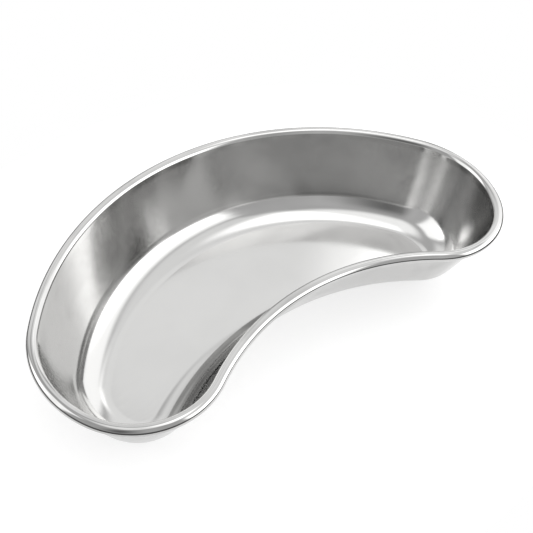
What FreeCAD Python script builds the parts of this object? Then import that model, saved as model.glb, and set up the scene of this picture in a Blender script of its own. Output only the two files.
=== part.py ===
"""Kidney dish (emesis basin): one sheet of stainless steel pressed into a bean-shaped tray,
its rim rolled outwards around a reinforcing wire.

Millimetres, +Z up, +X along the length, +Y towards the convex back.  The origin is on the
table, under the middle of the dish's box.

The plan is a closed chain of six tangent arcs on the rim's centre line: one long back arc, a
shoulder and an end arc on each side, and one concave front arc.  The wall has the same section
everywhere, so each stretch of it is that section turned about its arc's centre.
"""
import math
import os
import re

import FreeCAD
import Part
import Sketcher

Vector = FreeCAD.Vector

SHEET_NAME = "Sizes"

# Driving dimensions, in millimetres and degrees.
DRIVING = {
    "overall_length": 250.0,
    "overall_height": 44.5,
    "sheet_thickness": 0.8,
    "bead_radius": 2.6,
    "wire_radius": 1.75,
    "shoulder_radius": 49.0,
    "end_radius": 37.0,
    "front_radius": 117.0,
    "back_half_angle": 55.0,
    "shoulder_angle": 65.5,
    "floor_fillet": 18.0,
    "wall_draft": 19.5,
    "curl_end_angle": 145.0,
}

# Dimensions that follow from the driving ones.  Centres are those of the six plan arcs.
DERIVED = {
    "turn_angle": "back_half_angle + shoulder_angle",
    "back_radius": "shoulder_radius + (overall_length / 2 - shoulder_radius - bead_radius)"
                   " / sin(back_half_angle * 1deg)",
    "shoulder_x": "(back_radius - shoulder_radius) * sin(back_half_angle * 1deg)",
    "shoulder_rise": "(back_radius - shoulder_radius) * cos(back_half_angle * 1deg)",
    "end_x": "shoulder_x + (shoulder_radius - end_radius) * sin(turn_angle * 1deg)",
    "end_rise": "shoulder_rise + (shoulder_radius - end_radius) * cos(turn_angle * 1deg)",
    "back_y": "(end_radius - back_radius - end_rise) / 2",
    "shoulder_y": "back_y + shoulder_rise",
    "end_y": "back_y + end_rise",
    "front_y": "end_y - sqrt((front_radius + end_radius) ^ 2 - end_x ^ 2)",
    "front_half_angle": "asin(end_x / (front_radius + end_radius)) / 1deg",
    "front_joint_angle": "180 + front_half_angle",
    "end_angle": "front_joint_angle - turn_angle",
    "bead_z": "overall_height - bead_radius",
    "curl_radius": "bead_radius - sheet_thickness",
    "fillet_z": "sheet_thickness + floor_fillet",
    "floor_inset": "(bead_radius + floor_fillet + (bead_z - fillet_z) * sin(wall_draft * 1deg))"
                   " / cos(wall_draft * 1deg)",
}


def add_sheet(doc):
    """The spreadsheet that drives every size; returns the values by name."""
    sheet = doc.addObject("Spreadsheet::Sheet", SHEET_NAME)
    row = 1
    for alias, value in DRIVING.items():
        sheet.set("A%d" % row, alias)
        sheet.set("B%d" % row, str(value))
        sheet.setAlias("B%d" % row, alias)
        row += 1
    for alias, formula in DERIVED.items():
        sheet.set("A%d" % row, alias)
        sheet.set("B%d" % row, "=" + formula)
        sheet.setAlias("B%d" % row, alias)
        row += 1
    doc.recompute()
    return {alias: float(sheet.get(alias)) for alias in list(DRIVING) + list(DERIVED)}


def from_sheet(expression):
    """The expression with every dimension in it read from the spreadsheet."""
    def qualify(match):
        word = match.group(0)
        return SHEET_NAME + "." + word if word in DRIVING or word in DERIVED else word
    return re.sub(r"[a-z]\w*", qualify, expression)


def origin_feature(body, role):
    """One of the body's own base planes or axes."""
    for feature in body.Origin.OriginFeatures:
        if feature.Role == role:
            return feature
    raise ValueError("no origin feature " + role)


def add_sketch(body, name, plane):
    """An empty sketch on one of the body's base planes."""
    sketch = body.newObject("Sketcher::SketchObject", name)
    sketch.AttachmentSupport = [(origin_feature(body, plane), "")]
    sketch.MapMode = "FlatFace"
    return sketch


def bind(sketch, kind, *args):
    """Add a dimension: the points it measures, its starting value and its expression."""
    *points, value, expression = args
    index = sketch.addConstraint(Sketcher.Constraint(kind, *points, value))
    sketch.setExpression("Constraints[%d]" % index, from_sheet(expression))


# Sketcher's numbers for the points of a curve, and for the sketch's own axes and origin.
START, END, CENTRE = 1, 2, 3
H_AXIS, V_AXIS = -1, -2


def plan_arc(centre, radius, start, end):
    """An arc of the plan between two directions, in degrees anticlockwise from +X."""
    circle = Part.Circle(Vector(centre[0], centre[1], 0), Vector(0, 0, 1), radius)
    return Part.ArcOfCircle(circle, math.radians(start), math.radians(end))


def draw_plan(sketch, size, inset):
    """The closed kidney outline, drawn inset from the rim's centre line.

    inset is the name of the dimension it is inset by, or None on the centre line itself.
    """
    depth = size[inset] if inset else 0.0
    minus, plus = (" - " + inset, " + " + inset) if inset else ("", "")
    back = 90 - size["back_half_angle"]
    side = 90 - size["turn_angle"]
    front = 90 - size["front_half_angle"]
    back_centre = (0, size["back_y"])
    front_centre = (0, size["front_y"])
    curves = {}
    curves["back"] = sketch.addGeometry(
        plan_arc(back_centre, size["back_radius"] - depth, back, 180 - back))
    for sign, label in ((1, "right"), (-1, "left")):
        shoulder = (sign * size["shoulder_x"], size["shoulder_y"])
        end = (sign * size["end_x"], size["end_y"])
        shoulder_span = (side, back) if sign > 0 else (180 - back, 180 - side)
        end_span = (front - 180, side) if sign > 0 else (180 - side, 360 - front)
        curves["shoulder_" + label] = sketch.addGeometry(
            plan_arc(shoulder, size["shoulder_radius"] - depth, *shoulder_span))
        curves["end_" + label] = sketch.addGeometry(
            plan_arc(end, size["end_radius"] - depth, *end_span))
    curves["front"] = sketch.addGeometry(
        plan_arc(front_centre, size["front_radius"] + depth, front, 180 - front))

    # An arc runs anticlockwise from its start to its end.
    for first, first_end, second, second_end in (
            ("shoulder_right", END, "back", START),
            ("end_right", END, "shoulder_right", START),
            ("front", START, "end_right", START),
            ("front", END, "end_left", END),
            ("end_left", START, "shoulder_left", END),
            ("shoulder_left", START, "back", END)):
        sketch.addConstraint(Sketcher.Constraint(
            "Tangent", curves[first], first_end, curves[second], second_end))
    bind(sketch, "Radius", curves["back"], size["back_radius"] - depth, "back_radius" + minus)
    bind(sketch, "Radius", curves["front"], size["front_radius"] + depth, "front_radius" + plus)
    sketch.addConstraint(Sketcher.Constraint("PointOnObject", curves["back"], CENTRE, V_AXIS))
    bind(sketch, "DistanceY", H_AXIS, START, curves["back"], CENTRE, size["back_y"], "back_y")
    for label, towards in (("right", ""), ("left", "0 - ")):
        sign = -1 if towards else 1
        for part in ("shoulder", "end"):
            curve = curves[part + "_" + label]
            radius = part + "_radius"
            bind(sketch, "Radius", curve, size[radius] - depth, radius + minus)
            place = part + "_x"
            bind(sketch, "DistanceX", H_AXIS, START, curve, CENTRE, sign * size[place],
                 towards + place)


def stand_upright(sketch, centre, radius, angle):
    """Turn and move a section sketch to where two arcs of the plan meet.

    The sketch's origin goes under the rim's centre line, its X axis points out of the dish and
    its Y axis points up.  The arguments name the centre's X and Y, the radius, and the
    direction from the centre, clockwise from +Y.
    """
    sketch.AttachmentOffset = FreeCAD.Placement(
        Vector(), FreeCAD.Rotation(Vector(0, 1, 0), 0))
    names = {"x": centre[0], "y": centre[1], "radius": radius, "angle": angle}
    for path, expression in (
            ("Base.x", "{x} + {radius} * sin({angle} * 1deg)"),
            ("Base.z", "0 - {y} - {radius} * cos({angle} * 1deg)"),
            ("Rotation.Angle", "(90 - {angle}) * 1deg")):
        sketch.setExpression("AttachmentOffset." + path, from_sheet(expression.format(**names)))


def add_axis(sketch, size, expression, value):
    """An upright construction line at a distance along the section sketch's X axis."""
    height = size["overall_height"]
    line = sketch.addGeometry(
        Part.LineSegment(Vector(value, 0, 0), Vector(value, height, 0)), True)
    sketch.addConstraint(Sketcher.Constraint("Vertical", line))
    sketch.addConstraint(Sketcher.Constraint("PointOnObject", line, START, H_AXIS))
    bind(sketch, "DistanceX", H_AXIS, START, line, START, value, expression)
    bind(sketch, "DistanceY", line, START, line, END, height, "overall_height")


def draw_sheet_section(sketch, size):
    """The steel sheet cut across: floor fillet, drafted wall and rolled rim."""
    draft = math.radians(size["wall_draft"])
    inset = size["floor_inset"]
    thickness = size["sheet_thickness"]
    fillet = size["floor_fillet"]
    bead = size["bead_radius"]
    curl = size["curl_radius"]
    fillet_centre = Vector(-inset, size["fillet_z"], 0)
    bead_centre = Vector(0, size["bead_z"], 0)
    into_wall = Vector(math.cos(draft), -math.sin(draft), 0)
    curl_end = Vector(-math.cos(math.radians(180 - size["curl_end_angle"])),
                      -math.sin(math.radians(180 - size["curl_end_angle"])), 0)

    def arc(centre, radius, start, end):
        return sketch.addGeometry(Part.ArcOfCircle(
            Part.Circle(centre, Vector(0, 0, 1), radius), start, end))

    def line(start, end):
        return sketch.addGeometry(Part.LineSegment(start, end))

    def join(kind, first, first_end, second, second_end):
        sketch.addConstraint(Sketcher.Constraint(kind, first, first_end, second, second_end))

    roll = (-math.radians(size["curl_end_angle"]), math.pi - draft)
    floor_edge = line(Vector(-inset, 0, 0), Vector(-inset, thickness, 0))
    fillet_in = arc(fillet_centre, fillet, -math.pi / 2, -draft)
    fillet_out = arc(fillet_centre, fillet + thickness, -math.pi / 2, -draft)
    wall_in = line(fillet_centre + into_wall * fillet, bead_centre - into_wall * bead)
    wall_out = line(bead_centre - into_wall * curl,
                    fillet_centre + into_wall * (fillet + thickness))
    roll_out = arc(bead_centre, bead, *roll)
    roll_in = arc(bead_centre, curl, *roll)
    raw_edge = line(bead_centre + curl_end * bead, bead_centre + curl_end * curl)

    join("Coincident", floor_edge, START, fillet_out, START)
    join("Coincident", floor_edge, END, fillet_in, START)
    join("Coincident", raw_edge, START, roll_out, START)
    join("Coincident", raw_edge, END, roll_in, START)
    join("Coincident", fillet_in, CENTRE, fillet_out, CENTRE)
    join("Coincident", roll_in, CENTRE, roll_out, CENTRE)
    join("Tangent", fillet_in, END, wall_in, START)
    join("Tangent", wall_in, END, roll_out, END)
    join("Tangent", roll_in, END, wall_out, START)
    join("Tangent", wall_out, END, fillet_out, END)
    join("Vertical", floor_edge, END, fillet_in, CENTRE)
    sketch.addConstraint(Sketcher.Constraint("Vertical", floor_edge))
    sketch.addConstraint(Sketcher.Constraint("PointOnObject", floor_edge, START, H_AXIS))
    sketch.addConstraint(Sketcher.Constraint("PointOnObject", roll_out, CENTRE, V_AXIS))
    sketch.addConstraint(Sketcher.Constraint("PointOnObject", roll_out, CENTRE, raw_edge))
    bind(sketch, "DistanceX", H_AXIS, START, floor_edge, START, -inset, "0 - floor_inset")
    bind(sketch, "DistanceY", floor_edge, START, floor_edge, END, thickness, "sheet_thickness")
    bind(sketch, "DistanceY", H_AXIS, START, roll_out, CENTRE, size["bead_z"], "bead_z")
    bind(sketch, "Radius", fillet_in, fillet, "floor_fillet")
    bind(sketch, "Radius", roll_out, bead, "bead_radius")
    bind(sketch, "Radius", roll_in, curl, "curl_radius")
    bind(sketch, "Angle", raw_edge, math.pi - math.radians(size["curl_end_angle"]),
         "(180 - curl_end_angle) * 1deg")


def draw_wire_section(sketch, size):
    """The wire cut across: a round on the rim's centre line."""
    circle = sketch.addGeometry(Part.Circle(
        Vector(0, size["bead_z"], 0), Vector(0, 0, 1), size["wire_radius"]))
    sketch.addConstraint(Sketcher.Constraint("PointOnObject", circle, CENTRE, V_AXIS))
    bind(sketch, "DistanceY", H_AXIS, START, circle, CENTRE, size["bead_z"], "bead_z")
    bind(sketch, "Radius", circle, size["wire_radius"], "wire_radius")


def turn_section(body, name, sketch, axis, angle, clockwise=False):
    """Turn a section about one of its construction lines."""
    turned = body.newObject("PartDesign::Revolution", name)
    turned.Profile = sketch
    turned.ReferenceAxis = (sketch, [axis])
    turned.Reversed = clockwise
    turned.setExpression("Angle", from_sheet("(%s) * 1deg" % angle))
    sketch.Visibility = False
    return turned


def follow_plan(body, size, draw_section):
    """Carry one section round the whole plan, an arc at a time."""
    doc = body.Document
    shoulder_section = add_sketch(body, body.Name + "_shoulder_section", "XZ_Plane")
    stand_upright(shoulder_section, ("0", "back_y"), "back_radius", "back_half_angle")
    add_axis(shoulder_section, size, "0 - back_radius", -size["back_radius"])
    add_axis(shoulder_section, size, "0 - shoulder_radius", -size["shoulder_radius"])
    draw_section(shoulder_section, size)
    front_section = add_sketch(body, body.Name + "_front_section", "XZ_Plane")
    stand_upright(front_section, ("end_x", "end_y"), "end_radius", "front_joint_angle")
    add_axis(front_section, size, "0 - end_radius", -size["end_radius"])
    add_axis(front_section, size, "front_radius", size["front_radius"])
    draw_section(front_section, size)
    doc.recompute()

    turn_section(body, body.Name + "_back", shoulder_section, "Axis0", "2 * back_half_angle")
    doc.recompute()
    shoulder = turn_section(body, body.Name + "_shoulder", shoulder_section, "Axis1",
                            "shoulder_angle", clockwise=True)
    doc.recompute()
    end = turn_section(body, body.Name + "_end", front_section, "Axis0", "end_angle")
    doc.recompute()
    mirrored = body.newObject("PartDesign::Mirrored", body.Name + "_left_side")
    mirrored.Originals = [shoulder, end]
    mirrored.MirrorPlane = (origin_feature(body, "YZ_Plane"), [""])
    body.Tip = mirrored
    doc.recompute()
    turn_section(body, body.Name + "_front", front_section, "Axis1", "2 * front_half_angle")
    doc.recompute()


def add_body(doc, name):
    """A sub-part's body, standing in the shared frame."""
    body = doc.addObject("PartDesign::Body", name)
    body.Label = name
    body.Placement = FreeCAD.Placement()
    return body


def make_pan(doc, size):
    """The pressed sheet: rolled rim, drafted wall and fillet round a flat kidney floor."""
    body = add_body(doc, "pan")
    follow_plan(body, size, draw_sheet_section)
    outline = add_sketch(body, "floor_outline", "XY_Plane")
    draw_plan(outline, size, "floor_inset")
    doc.recompute()
    floor = body.newObject("PartDesign::Pad", "pan_floor")
    floor.Profile = outline
    floor.setExpression("Length", from_sheet("sheet_thickness"))
    outline.Visibility = False
    doc.recompute()
    return body


def make_rim_wire(doc, size):
    """The closed loop of round wire that the rim is rolled over."""
    body = add_body(doc, "rim_wire")
    follow_plan(body, size, draw_wire_section)
    return body


def check(doc, bodies):
    """Stop on any feature that failed, any loose sketch and any broken or split solid."""
    for item in doc.Objects:
        if "Invalid" in item.State or "Error" in item.State:
            raise RuntimeError("%s is %s" % (item.Name, item.State))
        if item.isDerivedFrom("Sketcher::SketchObject") and item.solve() != 0:
            raise RuntimeError("%s does not solve" % item.Name)
    for body in bodies:
        shape = body.Shape
        if shape.isNull() or not shape.isValid() or len(shape.Solids) != 1:
            raise RuntimeError("%s is not one valid solid" % body.Label)


def main():
    doc = FreeCAD.newDocument("KidneyDish")
    size = add_sheet(doc)
    bodies = [make_pan(doc, size), make_rim_wire(doc, size)]
    doc.recompute()
    check(doc, bodies)
    os.makedirs("parts", exist_ok=True)
    for body in bodies:
        body.Shape.exportStep("parts/%s.step" % body.Label)
        box = body.Shape.optimalBoundingBox(False)
        print("%s: volume %.1f mm3, X %.3f to %.3f, Y %.3f to %.3f, Z %.3f to %.3f, %d faces" % (
            body.Label, body.Shape.Volume, box.XMin, box.XMax, box.YMin, box.YMax,
            box.ZMin, box.ZMax, len(body.Shape.Faces)))


main()
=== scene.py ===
"""Looks of the kidney dish: mirror-polished pressed steel on a pale table in a white light tent.

Metres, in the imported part's frame: +X along the length, +Y towards the convex back, +Z up.
"""
import math

import bpy
from mathutils import Matrix, Vector


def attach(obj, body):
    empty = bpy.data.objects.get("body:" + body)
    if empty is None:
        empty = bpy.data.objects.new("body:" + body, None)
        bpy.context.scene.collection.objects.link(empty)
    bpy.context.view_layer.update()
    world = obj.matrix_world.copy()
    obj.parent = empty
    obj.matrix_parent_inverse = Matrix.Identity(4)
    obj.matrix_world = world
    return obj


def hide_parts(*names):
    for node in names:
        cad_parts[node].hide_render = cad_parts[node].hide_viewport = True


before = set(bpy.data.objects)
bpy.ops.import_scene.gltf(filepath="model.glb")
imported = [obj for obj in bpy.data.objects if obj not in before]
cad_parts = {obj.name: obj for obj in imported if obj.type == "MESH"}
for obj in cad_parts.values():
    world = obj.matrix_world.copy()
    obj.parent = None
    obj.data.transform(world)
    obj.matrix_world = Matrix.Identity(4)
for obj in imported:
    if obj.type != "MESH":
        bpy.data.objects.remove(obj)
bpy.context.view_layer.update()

# Sizes of the pressed sheet, as built in CAD.
LENGTH = 0.250
HEIGHT = 0.0445
SHEET = 0.0008
BEAD = 0.0026
SHOULDER = 0.049
END = 0.037
FRONT = 0.117
BACK_HALF = math.radians(55.0)
SHOULDER_TURN = math.radians(65.5)
FILLET = 0.018
DRAFT = math.radians(19.5)
CURL_END = math.radians(-145.0)

BEAD_Z = HEIGHT - BEAD
FILLET_Z = SHEET + FILLET
TURN = BACK_HALF + SHOULDER_TURN
BACK = SHOULDER + (LENGTH / 2 - SHOULDER - BEAD) / math.sin(BACK_HALF)
INSET = (BEAD + FILLET + (BEAD_Z - FILLET_Z) * math.sin(DRAFT)) / math.cos(DRAFT)
SHOULDER_X = (BACK - SHOULDER) * math.sin(BACK_HALF)
SHOULDER_RISE = (BACK - SHOULDER) * math.cos(BACK_HALF)
END_X = SHOULDER_X + (SHOULDER - END) * math.sin(TURN)
END_RISE = SHOULDER_RISE + (SHOULDER - END) * math.cos(TURN)
BACK_Y = (END - BACK - END_RISE) / 2
FRONT_HALF = math.asin(END_X / (FRONT + END))
FRONT_Y = BACK_Y + END_RISE - (FRONT + END) * math.cos(FRONT_HALF)

# Fineness of the visual mesh: plan steps in metres, section steps in radians.
PLAN_STEP = 0.0015
ROLL_STEP = math.radians(6.0)
FILLET_STEP = math.radians(3.0)
WALL_STEPS = 12
# The wall isn't quite straight: it bows out by 0.4 mm.
WALL_RADIUS = 0.200


def plan_stations():
    """Points of the rim's centre line with their outward directions, clockwise from the back's
    left shoulder, seen from above."""
    shoulder_y = BACK_Y + SHOULDER_RISE
    end_y = BACK_Y + END_RISE
    # Each arc: centre, radius, first and last angle from +Y, and 1 if it bulges outwards.
    arcs = (
        (Vector((0, BACK_Y)), BACK, -BACK_HALF, BACK_HALF, 1),
        (Vector((SHOULDER_X, shoulder_y)), SHOULDER, BACK_HALF, TURN, 1),
        (Vector((END_X, end_y)), END, TURN, math.pi + FRONT_HALF, 1),
        (Vector((0, FRONT_Y)), FRONT, FRONT_HALF, -FRONT_HALF, -1),
        (Vector((-END_X, end_y)), END, math.pi - FRONT_HALF, 2 * math.pi - TURN, 1),
        (Vector((-SHOULDER_X, shoulder_y)), SHOULDER, -TURN, -BACK_HALF, 1),
    )
    stations = []
    for centre, radius, start, end, side in arcs:
        steps = max(4, round(abs(end - start) * radius / PLAN_STEP))
        for step in range(steps):
            angle = start + (end - start) * step / steps
            outward = Vector((math.sin(angle), math.cos(angle)))
            stations.append((centre + outward * radius, outward * side))
    return stations


def section_arc(centre, radius, start, end, step, facing):
    """Points (u, z) and normals of a circular stretch of the section; facing is 1 if the metal's
    surface faces away from the centre and -1 if it faces towards it."""
    count = max(2, round(abs(end - start) / step))
    out = []
    for k in range(count + 1):
        angle = start + (end - start) * k / count
        direction = Vector((math.cos(angle), math.sin(angle)))
        out.append((centre + direction * radius, direction * facing))
    return out


def section_line(start, end, normal, steps):
    """Points and normals of a straight stretch of the section."""
    return [(start.lerp(end, k / steps), normal) for k in range(steps + 1)]


def wall_centre(fillet_centre, bead_centre):
    """Centre of the arc that the wall bows along, which touches the fillet and the bead."""
    chord = bead_centre - fillet_centre
    reach = WALL_RADIUS - FILLET
    along = (reach ** 2 - (WALL_RADIUS + BEAD) ** 2 + chord.length_squared) / 2 / chord.length
    aside = math.sqrt(reach ** 2 - along ** 2)
    chord.normalize()
    return fillet_centre + chord * along + Vector((-chord.y, chord.x)) * aside


def sheet_section():
    """The sheet's skin cut across, from the floor's inside edge over the rim to its underside."""
    fillet_centre = Vector((-INSET, FILLET_Z))
    bead_centre = Vector((0, BEAD_Z))
    bow_centre = wall_centre(fillet_centre, bead_centre)
    to_fillet = fillet_centre - bow_centre
    to_bead = bead_centre - bow_centre
    low = math.atan2(to_fillet.y, to_fillet.x)
    high = math.atan2(to_bead.y, to_bead.x)
    curl_end = Vector((math.cos(CURL_END), math.sin(CURL_END)))
    curl = BEAD - SHEET
    down = -math.pi / 2
    roll_start = high + math.pi
    step = (high - low) / WALL_STEPS
    return [
        section_arc(fillet_centre, FILLET, down, low, FILLET_STEP, -1),
        section_arc(bow_centre, WALL_RADIUS, low, high, step, -1),
        section_arc(bead_centre, BEAD, roll_start, CURL_END, ROLL_STEP, 1),
        section_line(bead_centre + curl_end * BEAD, bead_centre + curl_end * curl,
                     Vector((curl_end.y, -curl_end.x)), 1),
        section_arc(bead_centre, curl, CURL_END, roll_start, ROLL_STEP, -1),
        section_arc(bow_centre, WALL_RADIUS + SHEET, high, low, step, 1),
        section_arc(fillet_centre, FILLET + SHEET, low, down, FILLET_STEP, 1),
    ]


def build_pan():
    """The pressed sheet as one closed mesh with exact normals."""
    stations = plan_stations()
    points = []
    spans = []
    for stretch in sheet_section():
        first = len(points) - 1 if points else 0
        points.extend(p for p, _ in (stretch[1:] if spans else stretch))
        spans.append((first, stretch))
    rows = len(points)
    columns = len(stations)
    verts = []
    for place, outward in stations:
        for u, z in points:
            flat = place + outward * u
            verts.append((flat.x, flat.y, z))
    faces = []
    normals = []

    def lift(normal, outward):
        return (outward.x * normal.x, outward.y * normal.x, normal.y)

    for column in range(columns):
        after = (column + 1) % columns
        here, there = stations[column][1], stations[after][1]
        for first, stretch in spans:
            for k in range(len(stretch) - 1):
                low, high = first + k, first + k + 1
                faces.append((column * rows + low, after * rows + low,
                              after * rows + high, column * rows + high))
                low_normal, high_normal = stretch[k][1], stretch[k + 1][1]
                normals.extend((lift(low_normal, here), lift(low_normal, there),
                                lift(high_normal, there), lift(high_normal, here)))
    inside = [column * rows for column in range(columns)]
    underside = [column * rows + rows - 1 for column in range(columns)]
    faces.append(tuple(reversed(inside)))
    normals.extend([(0, 0, 1)] * columns)
    faces.append(tuple(underside))
    normals.extend([(0, 0, -1)] * columns)
    mesh = bpy.data.meshes.new("pressed_pan")
    mesh.from_pydata(verts, [], faces)
    mesh.validate()
    mesh.update()
    for polygon in mesh.polygons:
        polygon.use_smooth = True
    mesh.normals_split_custom_set(normals)
    pan = bpy.data.objects.new("pressed_pan", mesh)
    bpy.context.scene.collection.objects.link(pan)
    return pan


class Nodes:
    """Short ways to add and join the nodes of one shader tree."""

    def __init__(self, tree):
        self.nodes = tree.nodes
        self.links = tree.links
        self.place = self.nodes.new("ShaderNodeTexCoord").outputs

    def fill(self, socket, value):
        """Joins a node's output to the socket, or sets the socket to a constant."""
        if isinstance(value, bpy.types.NodeSocket):
            self.links.new(value, socket)
        else:
            socket.default_value = value

    def math(self, operation, *operands):
        node = self.nodes.new("ShaderNodeMath")
        node.operation = operation
        for socket, value in zip(node.inputs, operands):
            self.fill(socket, value)
        return node.outputs[0]

    def spread(self, value, low, high, start=0.0, end=1.0):
        """value taken from low..high to start..end, smoothly, and held at the ends."""
        node = self.nodes.new("ShaderNodeMapRange")
        node.interpolation_type = "SMOOTHSTEP"
        for name, item in (("Value", value), ("From Min", low), ("From Max", high),
                           ("To Min", start), ("To Max", end)):
            self.fill(node.inputs[name], item)
        return node.outputs["Result"]

    def split(self, vector):
        """The X, Y and Z of a vector."""
        node = self.nodes.new("ShaderNodeSeparateXYZ")
        self.fill(node.inputs[0], vector)
        return node.outputs

    def mix(self, share, first, second):
        """A number between first and second."""
        node = self.nodes.new("ShaderNodeMix")
        self.fill(node.inputs["Factor"], share)
        self.fill(node.inputs["A"], first)
        self.fill(node.inputs["B"], second)
        return node.outputs["Result"]

    def mix_colours(self, share, first, second):
        """A colour between first and second, which are (r, g, b) constants."""
        node = self.nodes.new("ShaderNodeMix")
        node.data_type = "RGBA"
        self.fill(node.inputs["Factor"], share)
        node.inputs["A"].default_value = (*first, 1)
        node.inputs["B"].default_value = (*second, 1)
        return node.outputs["Result"]

    def stretch(self, place, scale):
        node = self.nodes.new("ShaderNodeVectorMath")
        node.operation = "MULTIPLY"
        self.fill(node.inputs[0], place)
        self.fill(node.inputs[1], scale)
        return node.outputs["Vector"]

    def noise(self, place, scale, detail=2.0, roughness=0.5, warp=0.0):
        node = self.nodes.new("ShaderNodeTexNoise")
        self.fill(node.inputs["Vector"], place)
        node.inputs["Scale"].default_value = scale
        node.inputs["Detail"].default_value = detail
        node.inputs["Roughness"].default_value = roughness
        node.inputs["Distortion"].default_value = warp
        return node.outputs["Fac"]

    def bump(self, height, distance, strength=1.0, under=None):
        """Relief: height runs from 0 to 1 over a distance in metres."""
        node = self.nodes.new("ShaderNodeBump")
        self.fill(node.inputs["Height"], height)
        self.fill(node.inputs["Strength"], strength)
        node.inputs["Distance"].default_value = distance
        if under is not None:
            self.links.new(under, node.inputs["Normal"])
        return node.outputs["Normal"]


class Shading(Nodes):
    """A new material: its nodes, its shader, and object coordinates to place things by."""

    def __init__(self, name):
        self.material = bpy.data.materials.new(name)
        self.material.use_nodes = True
        super().__init__(self.material.node_tree)
        self.shader = self.nodes["Principled BSDF"]
        self.facing = self.place["Normal"]
        self.place = self.place["Object"]


# Roughness of the buffed bowl and of the brighter rolled rim, and what the drawn ends add to it.
BOWL_ROUGHNESS = 0.105
RIM_ROUGHNESS = 0.05
END_ROUGHNESS = 0.09
# Reflectance of well buffed steel, and the darker tone of steel buffed less, which also serves as
# the painted dark reflection on the concave wall.
BUFFED_STEEL = (0.572, 0.570, 0.564)
DULL_STEEL_AND_DARK_REFLECTION = (0.280, 0.279, 0.276)
# Where the wall begins and where it is fully wall, as heights.
WALL_FOOT = (0.006, 0.016)
# The same for the cloudy tone of the floor, which the wall has more strongly.
CLOUD_FOOT = (0.004, 0.012)
CLOUD_FLOOR, CLOUD_WALL = 0.93, 0.62
# The band of painted dark reflection on the concave wall: how far from the front arc it fades,
# and at what height.
HOLLOW_REACH = (FRONT + 0.018, FRONT + 0.027)
HOLLOW_TOP = (0.030, 0.040)
# Where the deeply drawn ends begin, either way along X.
END_START = (0.080, 0.104)
# Heights of the relief: the press's flutes, the orange peel and the buffing lines.
FLUTE_DEPTH = 0.0005
PEEL_DEPTH = 0.000005
LINE_DEPTH = 0.000001


def dark_reflection_band(steel, xyz):
    """Where the dark reflection is painted: 1 on the inside of the concave wall below the rim,
    and 0 elsewhere.
    """
    from_front = steel.math("SUBTRACT", xyz["Y"], FRONT_Y)
    from_front = steel.math("SQRT", steel.math(
        "ADD", steel.math("MULTIPLY", xyz["X"], xyz["X"]),
        steel.math("MULTIPLY", from_front, from_front)))
    near_front = steel.spread(from_front, *HOLLOW_REACH, 1.0, 0.0)
    inside = steel.spread(steel.split(steel.facing)["Z"], 0.1, 0.2)
    low = steel.spread(xyz["Z"], *HOLLOW_TOP, 1.0, 0.0)
    return steel.math("MULTIPLY", steel.math("MULTIPLY", near_front, inside), low)


def polished_steel():
    """Stainless steel as a buffing wheel leaves it: a soft mirror inside the bowl, a sharper one
    on the rolled rim, faint flutes that the press leaves in the wall, a fine orange peel in the
    drawn ends, fine buffing lines, and a painted dark, streaked reflection on the concave wall."""
    steel = Shading("polished_steel")
    shader = steel.shader
    shader.inputs["Metallic"].default_value = 1.0
    xyz = steel.split(steel.place)
    height = xyz["Z"]
    on_wall = steel.spread(height, *WALL_FOOT)
    on_rim = steel.spread(height, BEAD_Z - BEAD, BEAD_Z)
    below_rim = steel.math("SUBTRACT", 1.0, on_rim)

    # Grey cloudiness: the steel's own tone, slightly darker where it was buffed less.
    cloud = steel.noise(steel.place, 26.0, 3.0, 0.55, 0.4)
    least = steel.spread(height, *CLOUD_FOOT, CLOUD_FLOOR, CLOUD_WALL)
    clear = steel.spread(cloud, 0.30, 0.62, least, 1.0)
    # Painted dark reflection: the base colour is darkened in streaks on the inside of the concave
    # wall, below the rim.
    drawn = steel.noise(steel.stretch(steel.place, (14.0, 14.0, 520.0)), 1.0, 3.0, 0.6)
    drawn = steel.spread(drawn, 0.32, 0.68, 0.50, 1.0)
    painted_dark_reflection = steel.math("MULTIPLY", dark_reflection_band(steel, xyz), drawn)
    clear = steel.math("MULTIPLY", clear, steel.math("SUBTRACT", 1.0, painted_dark_reflection))
    steel.fill(shader.inputs["Base Color"], steel.mix_colours(clear, DULL_STEEL_AND_DARK_REFLECTION, BUFFED_STEEL))

    # Buffing lines run along the dish, and up and down its walls.
    along = steel.noise(steel.stretch(steel.place, (60.0, 1400.0, 1400.0)), 1.0, 3.0, 0.6)
    upright = steel.noise(steel.stretch(steel.place, (900.0, 900.0, 40.0)), 1.0, 3.0, 0.6)
    lines = steel.mix(on_wall, along, upright)

    # The deeply drawn ends are a little coarser, with a fine orange peel.
    drawn_end = steel.spread(steel.math("ABSOLUTE", xyz["X"]), *END_START)
    drawn_end = steel.math("MULTIPLY", drawn_end, on_wall)
    bowl = steel.math("ADD", BOWL_ROUGHNESS, steel.math("MULTIPLY", drawn_end, END_ROUGHNESS))
    bowl = steel.math("ADD", bowl, steel.spread(lines, 0.3, 0.7, -0.015, 0.02))
    bowl = steel.math("ADD", bowl, steel.spread(cloud, 0.35, 0.75, -0.015, 0.03))
    rim = steel.spread(lines, 0.3, 0.7, RIM_ROUGHNESS - 0.02, RIM_ROUGHNESS + 0.03)
    steel.fill(shader.inputs["Roughness"], steel.mix(on_rim, bowl, rim))

    flutes = steel.noise(steel.stretch(steel.place, (1.0, 1.0, 0.35)), 34.0, 1.0, 0.4)
    relief = steel.bump(flutes, FLUTE_DEPTH, steel.math("MULTIPLY", on_wall, below_rim))
    peel = steel.noise(steel.place, 420.0, 2.0, 0.5)
    peeled = steel.math("MULTIPLY", drawn_end, below_rim)
    relief = steel.bump(peel, PEEL_DEPTH, peeled, relief)
    relief = steel.bump(lines, LINE_DEPTH, 1.0, relief)
    steel.fill(shader.inputs["Normal"], relief)
    return steel.material


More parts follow.
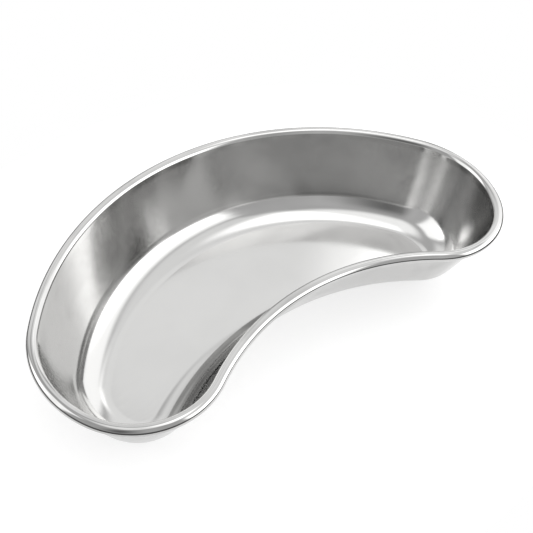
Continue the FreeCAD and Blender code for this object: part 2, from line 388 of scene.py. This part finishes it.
def drawn_wire():
    """Bright drawn steel wire: fine lines round the dish, and a duller, blotchy surface."""
    wire = Shading("drawn_wire")
    wire.shader.inputs["Metallic"].default_value = 1.0
    blotch = wire.spread(wire.noise(wire.place, 90.0, 3.0, 0.55), 0.3, 0.7)
    tone = wire.mix_colours(blotch, (0.42, 0.42, 0.415), (0.54, 0.54, 0.53))
    wire.fill(wire.shader.inputs["Base Color"], tone)
    lines = wire.noise(wire.stretch(wire.place, (60.0, 60.0, 2600.0)), 1.0, 3.0, 0.6)
    wire.fill(wire.shader.inputs["Roughness"], wire.spread(lines, 0.3, 0.7, 0.22, 0.42))
    wire.fill(wire.shader.inputs["Normal"], wire.bump(lines, 0.00002))
    return wire.material


# The oval light table, in metres: its half axes, how far it lies below the dish, the number of
# its outline's sides, and how strongly it glows.
TABLE_REACH = (0.215, 0.160)
TABLE_DROP = 0.0002
TABLE_SIDES = 160
TABLE_GLOW = 0.62


def pale_table():
    """White acrylic light table, which glows a little, with a very fine satin grain."""
    table = Shading("pale_table")
    shader = table.shader
    shader.inputs["Base Color"].default_value = (0.46, 0.46, 0.46, 1)
    grain = table.noise(table.place, 900.0, 2.0, 0.5)
    table.fill(shader.inputs["Roughness"], table.spread(grain, 0.3, 0.7, 0.5, 0.65))
    table.fill(shader.inputs["Normal"], table.bump(grain, 0.00001))
    shader.inputs["Emission Color"].default_value = (1, 1, 1, 1)
    shader.inputs["Emission Strength"].default_value = TABLE_GLOW
    return table.material


def build_floor():
    """The table: a flat oval sheet, a hair below the dish."""
    turns = [math.tau * k / TABLE_SIDES for k in range(TABLE_SIDES)]
    oval = [(TABLE_REACH[0] * math.cos(t), TABLE_REACH[1] * math.sin(t), 0) for t in turns]
    mesh = bpy.data.meshes.new("table_top")
    mesh.from_pydata(oval, [], [tuple(range(len(oval)))])
    floor = bpy.data.objects.new("table_top", mesh)
    floor.location.z = -TABLE_DROP
    bpy.context.scene.collection.objects.link(floor)
    floor.data.materials.append(pale_table())
    return floor


# Where the camera stands, in degrees: the azimuth is 0 in front of the concave side and grows
# to the right, and the roll is clockwise.  It looks at the target from this distance, in metres.
CAMERA_AZIMUTH = -41.6
CAMERA_ELEVATION = 47.5
CAMERA_ROLL = 6.1
CAMERA_DISTANCE = 0.4245
CAMERA_TARGET = (0.0041, -0.0039, 0.020)
CAMERA_LENS = 58.0


def add_camera():
    """A camera at the photograph's viewing angle."""
    azimuth = math.radians(CAMERA_AZIMUTH)
    elevation = math.radians(CAMERA_ELEVATION)
    roll = math.radians(CAMERA_ROLL)
    target = Vector(CAMERA_TARGET)
    back = Vector((math.sin(azimuth) * math.cos(elevation),
                   -math.cos(azimuth) * math.cos(elevation), math.sin(elevation)))
    level = Vector((math.cos(azimuth), math.sin(azimuth), 0))
    upright = back.cross(level)
    right = level * math.cos(roll) + upright * math.sin(roll)
    up = upright * math.cos(roll) - level * math.sin(roll)
    data = bpy.data.cameras.new("camera")
    data.sensor_fit = "HORIZONTAL"
    data.sensor_width = 36.0
    data.lens = CAMERA_LENS
    data.clip_start = 0.01
    camera = bpy.data.objects.new("camera", data)
    place = target + back * CAMERA_DISTANCE
    axes = Matrix((right, up, back)).transposed().to_4x4()
    camera.matrix_world = Matrix.Translation(place) @ axes
    bpy.context.scene.collection.objects.link(camera)
    bpy.context.scene.camera = camera


# The light tent, as seen from the dish.  Directions are in degrees: the azimuth is measured
# anticlockwise from the middle of the tent's far wall, which faces the camera, and the elevation
# up from the table.
TENT_TURN = CAMERA_AZIMUTH + 90
TENT_GREY = 0.63
# Each panel: azimuth from and to, elevation from and to, softness of its edges, brightness.
# They are laid one over the other in this order.
PANELS = (
    ("top_softbox", -125, 0, 66, 84, 10, 2.3),
    ("near_wall", 140, 210, -20, 58, 10, 0.7),
    ("lens_opening", 157, 185, 8, 56, 15, 0.2),
    ("left_wall", 20, 65, 8, 46, 8, 1.15),
    ("right_wall", -115, -5, 52, 66, 4, 1.1),
    ("far_wall", -10, 20, -20, 60, 4, 1.2),
    ("far_glow", -28, -8, 42, 50, 5, 2.5),
    ("left_softbox", 75, 120, -20, 57, 4, 1.75),
    ("left_core", 80, 100, 15, 35, 5, 3.4),
    ("right_softbox", -120, -17, -20, 48, 4, 1.65),
    ("right_core", -120, -60, -20, 38, 7, 3.0),
)
# The tent's roof glows round the zenith: where its full and its last light reach, in degrees.
ROOF_INNER, ROOF_OUTER = 14, 27
ROOF_BRIGHTNESS = 1.5
# Between these elevations the tent gives way to the dim studio below it.
SKIRT_LOW, SKIRT_HIGH = -2, 5
SKIRT_BRIGHTNESS = 0.12
# Brightness of the plain backdrop that the lens sees.
BACKDROP = 1.0


def light_world():
    """A white light tent: grey cloth, softboxes left, right and above, a bright roof, and a dim
    side where the opening for the lens is."""
    world = bpy.data.worlds.new("light_tent")
    world.use_nodes = True
    tent = Nodes(world.node_tree)

    def blend(under, value, mask):
        lift = tent.math("SUBTRACT", value, under)
        return tent.math("ADD", under, tent.math("MULTIPLY", lift, mask))

    turn = tent.nodes.new("ShaderNodeMapping")
    turn.inputs["Rotation"].default_value[2] = -math.radians(TENT_TURN)
    tent.fill(turn.inputs["Vector"], tent.place["Generated"])
    xyz = tent.split(turn.outputs["Vector"])
    degrees = 180 / math.pi
    azimuth = tent.math("MULTIPLY", tent.math("ARCTAN2", xyz["Y"], xyz["X"]), degrees)
    elevation = tent.math("MULTIPLY", tent.math("ARCSINE", xyz["Z"]), degrees)
    # The azimuth counted from 0 to 360, for panels that cross the seam at 180.
    past_seam = tent.math("WRAP", azimuth, 360, 0)

    roof = tent.spread(elevation, 90 - ROOF_OUTER, 90 - ROOF_INNER)
    brightness = blend(TENT_GREY, ROOF_BRIGHTNESS, roof)
    for _, left, right, low, high, soft, value in PANELS:
        side = past_seam if right > 180 else azimuth
        mask = tent.math("MULTIPLY", tent.spread(side, left - soft, left + soft),
                         tent.spread(side, right + soft, right - soft))
        mask = tent.math("MULTIPLY", mask, tent.spread(elevation, high + soft, high - soft))
        mask = tent.math("MULTIPLY", mask, tent.spread(elevation, low - soft, low + soft))
        brightness = blend(brightness, value, mask)
    above_skirt = tent.spread(elevation, SKIRT_LOW, SKIRT_HIGH)
    brightness = blend(SKIRT_BRIGHTNESS, brightness, above_skirt)

    # The lens sees a plain pale backdrop; the dish and the table see the tent.
    rays = tent.nodes.new("ShaderNodeLightPath")
    brightness = blend(brightness, BACKDROP, rays.outputs["Is Camera Ray"])
    background = tent.nodes["Background"]
    background.inputs["Color"].default_value = (1, 1, 1, 1)
    tent.fill(background.inputs["Strength"], brightness)
    bpy.context.scene.world = world


pan = build_pan()
pan.data.materials.append(polished_steel())
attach(pan, "root")
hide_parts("pan")

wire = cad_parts["rim_wire"]
wire.data.materials.clear()
wire.data.materials.append(drawn_wire())

floor = build_floor()
add_camera()
light_world()
bpy.context.scene.view_settings.view_transform = "Standard"
